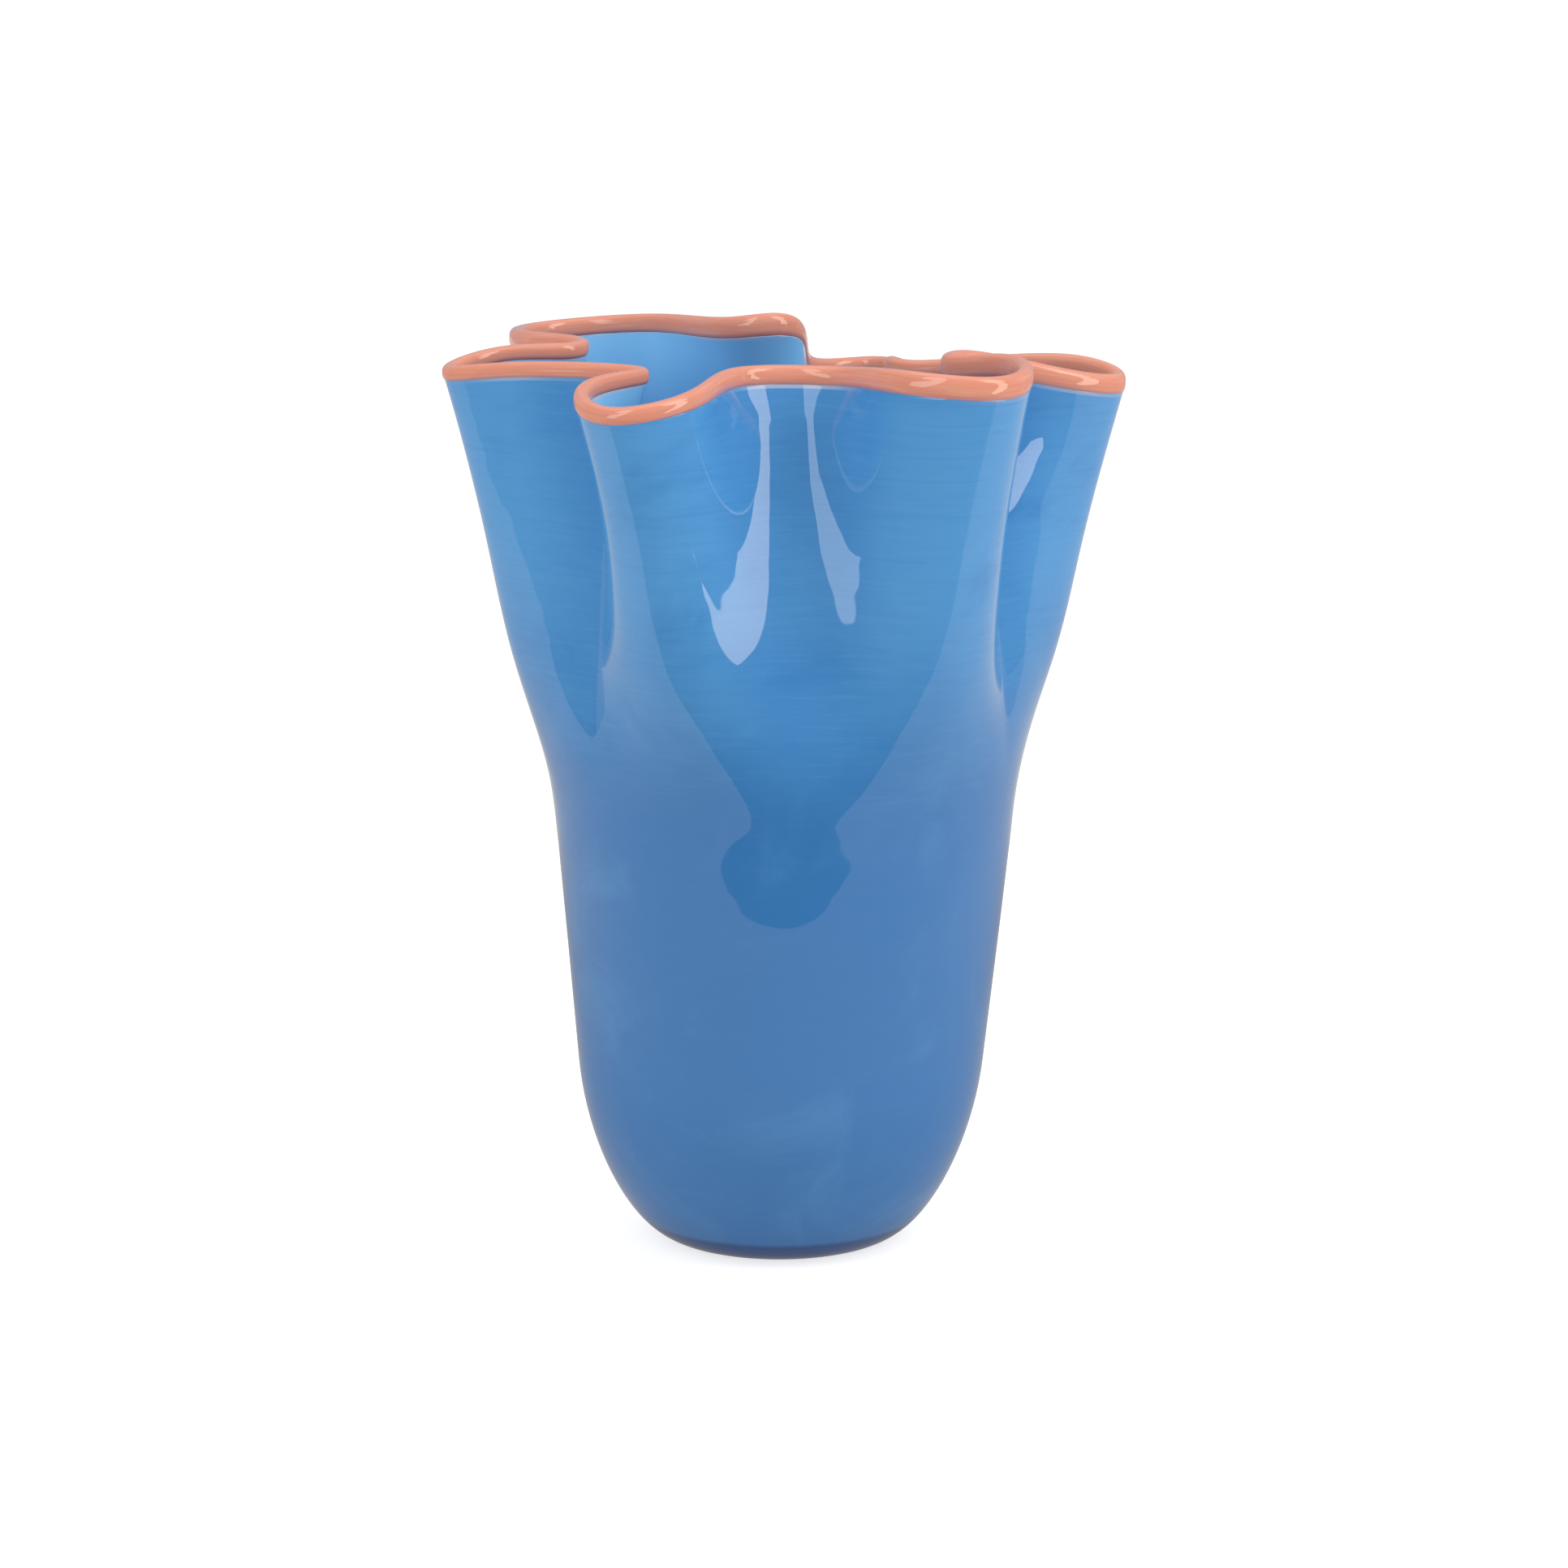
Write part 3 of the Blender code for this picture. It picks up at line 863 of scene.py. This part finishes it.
def floor_material():
    """White table top that keeps a soft shadow."""
    recipe = Recipe("white_table")
    recipe.tree.nodes.remove(recipe.shader)
    rays = recipe.node("ShaderNodeLightPath")
    diffuse = recipe.node("ShaderNodeBsdfDiffuse")
    diffuse.inputs["Color"].default_value = FLOOR_GREY
    lift = recipe.node("ShaderNodeEmission")
    strength = recipe.ramp(rays.outputs["Is Camera Ray"], 0.0, 1.0, FLOOR_LIFT_UNSEEN, FLOOR_LIFT)
    recipe.join(strength, lift.inputs["Strength"])
    white = recipe.node("ShaderNodeAddShader")
    recipe.join(diffuse.outputs[0], white.inputs[0])
    recipe.join(lift.outputs[0], white.inputs[1])
    recipe.join(white.outputs[0], recipe.tree.nodes["Material Output"].inputs["Surface"])
    return recipe.material


def white_world(scene, settings):
    """White behind the vase and in the glass, and an even light from all round."""
    world = bpy.data.worlds.new("studio")
    scene.world = world
    world.use_nodes = True
    nodes = world.node_tree.nodes
    links = world.node_tree.links
    nodes.clear()
    rays = nodes.new("ShaderNodeLightPath")
    seen = nodes.new("ShaderNodeMath")
    seen.operation = "ADD"
    links.new(rays.outputs["Is Camera Ray"], seen.inputs[0])
    links.new(rays.outputs["Is Glossy Ray"], seen.inputs[1])
    clear = nodes.new("ShaderNodeMath")
    clear.operation = "ADD"
    clear.use_clamp = True
    links.new(seen.outputs[0], clear.inputs[0])
    links.new(rays.outputs["Is Transmission Ray"], clear.inputs[1])
    strength = nodes.new("ShaderNodeMapRange")
    links.new(clear.outputs[0], strength.inputs["Value"])
    strength.inputs["To Min"].default_value = settings.ambient
    strength.inputs["To Max"].default_value = 1.0
    background = nodes.new("ShaderNodeBackground")
    background.inputs["Color"].default_value = (1.0, 1.0, 1.0, 1.0)
    links.new(strength.outputs["Result"], background.inputs["Strength"])
    output = nodes.new("ShaderNodeOutputWorld")
    links.new(background.outputs[0], output.inputs["Surface"])


class VASE_OT_stage(bpy.types.Operator):
    """Set up the white table, the studio's light and the camera"""

    bl_idname = "vase.stage"
    bl_label = "Stage"

    def execute(self, context):
        scene = context.scene
        settings = scene.vase_stage
        white_world(scene, settings)
        reach = FLOOR_REACH
        corners = ((-reach, -reach, 0), (reach, -reach, 0), (reach, reach, 0), (-reach, reach, 0))
        floor = stage_object("floor", sheet_mesh("floor", corners), floor_material())
        floor.visible_glossy = False
        side = settings.table_side
        front = -settings.table_front
        corners = ((-side, front, 0), (side, front, 0), (side, reach, 0), (-side, reach, 0))
        reflected("table_top", sheet_mesh("table_top", corners), settings.table_glow,
                  settings.warmth, TABLE_SHADE)
        room = (
            ("unlit_room", UNLIT_FROM, UNLIT_TO, settings.shade, WHITE),
            ("studio_walls", UNLIT_TO, UNLIT_FROM + 360, settings.wall_glow, settings.coolness),
        )
        for name, start, end, strength, tint in room:
            rows = ((ROOM_HEIGHT, start, end), (-ROOM_HEIGHT, start, end))
            reflected(name, curved_mesh(name, ROOM_DISTANCE, rows), strength, tint)
        lights = (
            ("right", RIGHT_LAMP_AZIMUTH, RIGHT_LIGHT, settings.right_glow, settings.right_tint,
             settings.right_power),
            ("left", LEFT_LAMP_AZIMUTH, LEFT_LIGHT, settings.left_glow, WHITE,
             settings.left_power),
        )
        for name, azimuth, rows, strength, tint, power in lights:
            soft_light = curved_mesh(name + "_light", LIGHT_DISTANCE, rows)
            reflected(name + "_light", soft_light, strength, tint)
            lamp_data = bpy.data.lights.new(name + "_lamp", "AREA")
            lamp_data.shape = "RECTANGLE"
            lamp_data.size, lamp_data.size_y = LAMP_SIZE
            lamp_data.energy = power
            lamp = bpy.data.objects.new(name + "_lamp", lamp_data)
            scene.collection.objects.link(lamp)
            out = Vector((*direction(math.radians(azimuth)), 0))
            lamp.location = out * LIGHT_DISTANCE + Vector((0, 0, settings.lamp_height))
            aim = CAMERA_TARGET - lamp.location
            lamp.rotation_euler = aim.to_track_quat("-Z", "Y").to_euler()
            lamp.visible_glossy = False
            lamp.visible_camera = False
        camera_data = bpy.data.cameras.new("camera")
        camera_data.sensor_width = CAMERA_SENSOR
        camera_data.lens = CAMERA_LENS
        camera_data.clip_end = CAMERA_RANGE
        camera = bpy.data.objects.new("camera", camera_data)
        scene.collection.objects.link(camera)
        back = Vector((0, -math.cos(CAMERA_PITCH), math.sin(CAMERA_PITCH)))
        camera.location = CAMERA_TARGET + back * CAMERA_DISTANCE
        camera.rotation_euler = (-back).to_track_quat("-Z", "Y").to_euler()
        scene.camera = camera
        scene.view_settings.view_transform = "Standard"
        return {"FINISHED"}


class VASE_PT_sidebar(bpy.types.Panel):
    """Sizes, colours and steps of the ruffled vase"""

    bl_idname = "VASE_PT_sidebar"
    bl_label = "Ruffled vase"
    bl_space_type = "VIEW_3D"
    bl_region_type = "UI"
    bl_category = "Vase"

    def draw(self, context):
        layout = self.layout
        for group_name, group_type in GROUPS:
            box = layout.box()
            for name in group_type.__annotations__:
                box.prop(getattr(context.scene, group_name), name)
        for operator in STEPS:
            layout.operator(operator.bl_idname)


GROUPS = (
    ("vase_sizes", VaseSizes),
    ("vase_colours", VaseColours),
    ("vase_stage", StageSettings),
)
STEPS = (VASE_OT_glass_body, VASE_OT_lip_trail, VASE_OT_stage)


def register():
    for name, group in GROUPS:
        bpy.utils.register_class(group)
        setattr(bpy.types.Scene, name, bpy.props.PointerProperty(type=group))
    for step in (*STEPS, VASE_PT_sidebar):
        bpy.utils.register_class(step)


def unregister():
    for step in (VASE_PT_sidebar, *reversed(STEPS)):
        bpy.utils.unregister_class(step)
    for name, group in reversed(GROUPS):
        delattr(bpy.types.Scene, name)
        bpy.utils.unregister_class(group)


def main():
    register()
    bpy.ops.vase.glass_body()
    bpy.ops.vase.lip_trail()
    bpy.ops.vase.stage()


if __name__ == "__main__":
    main()
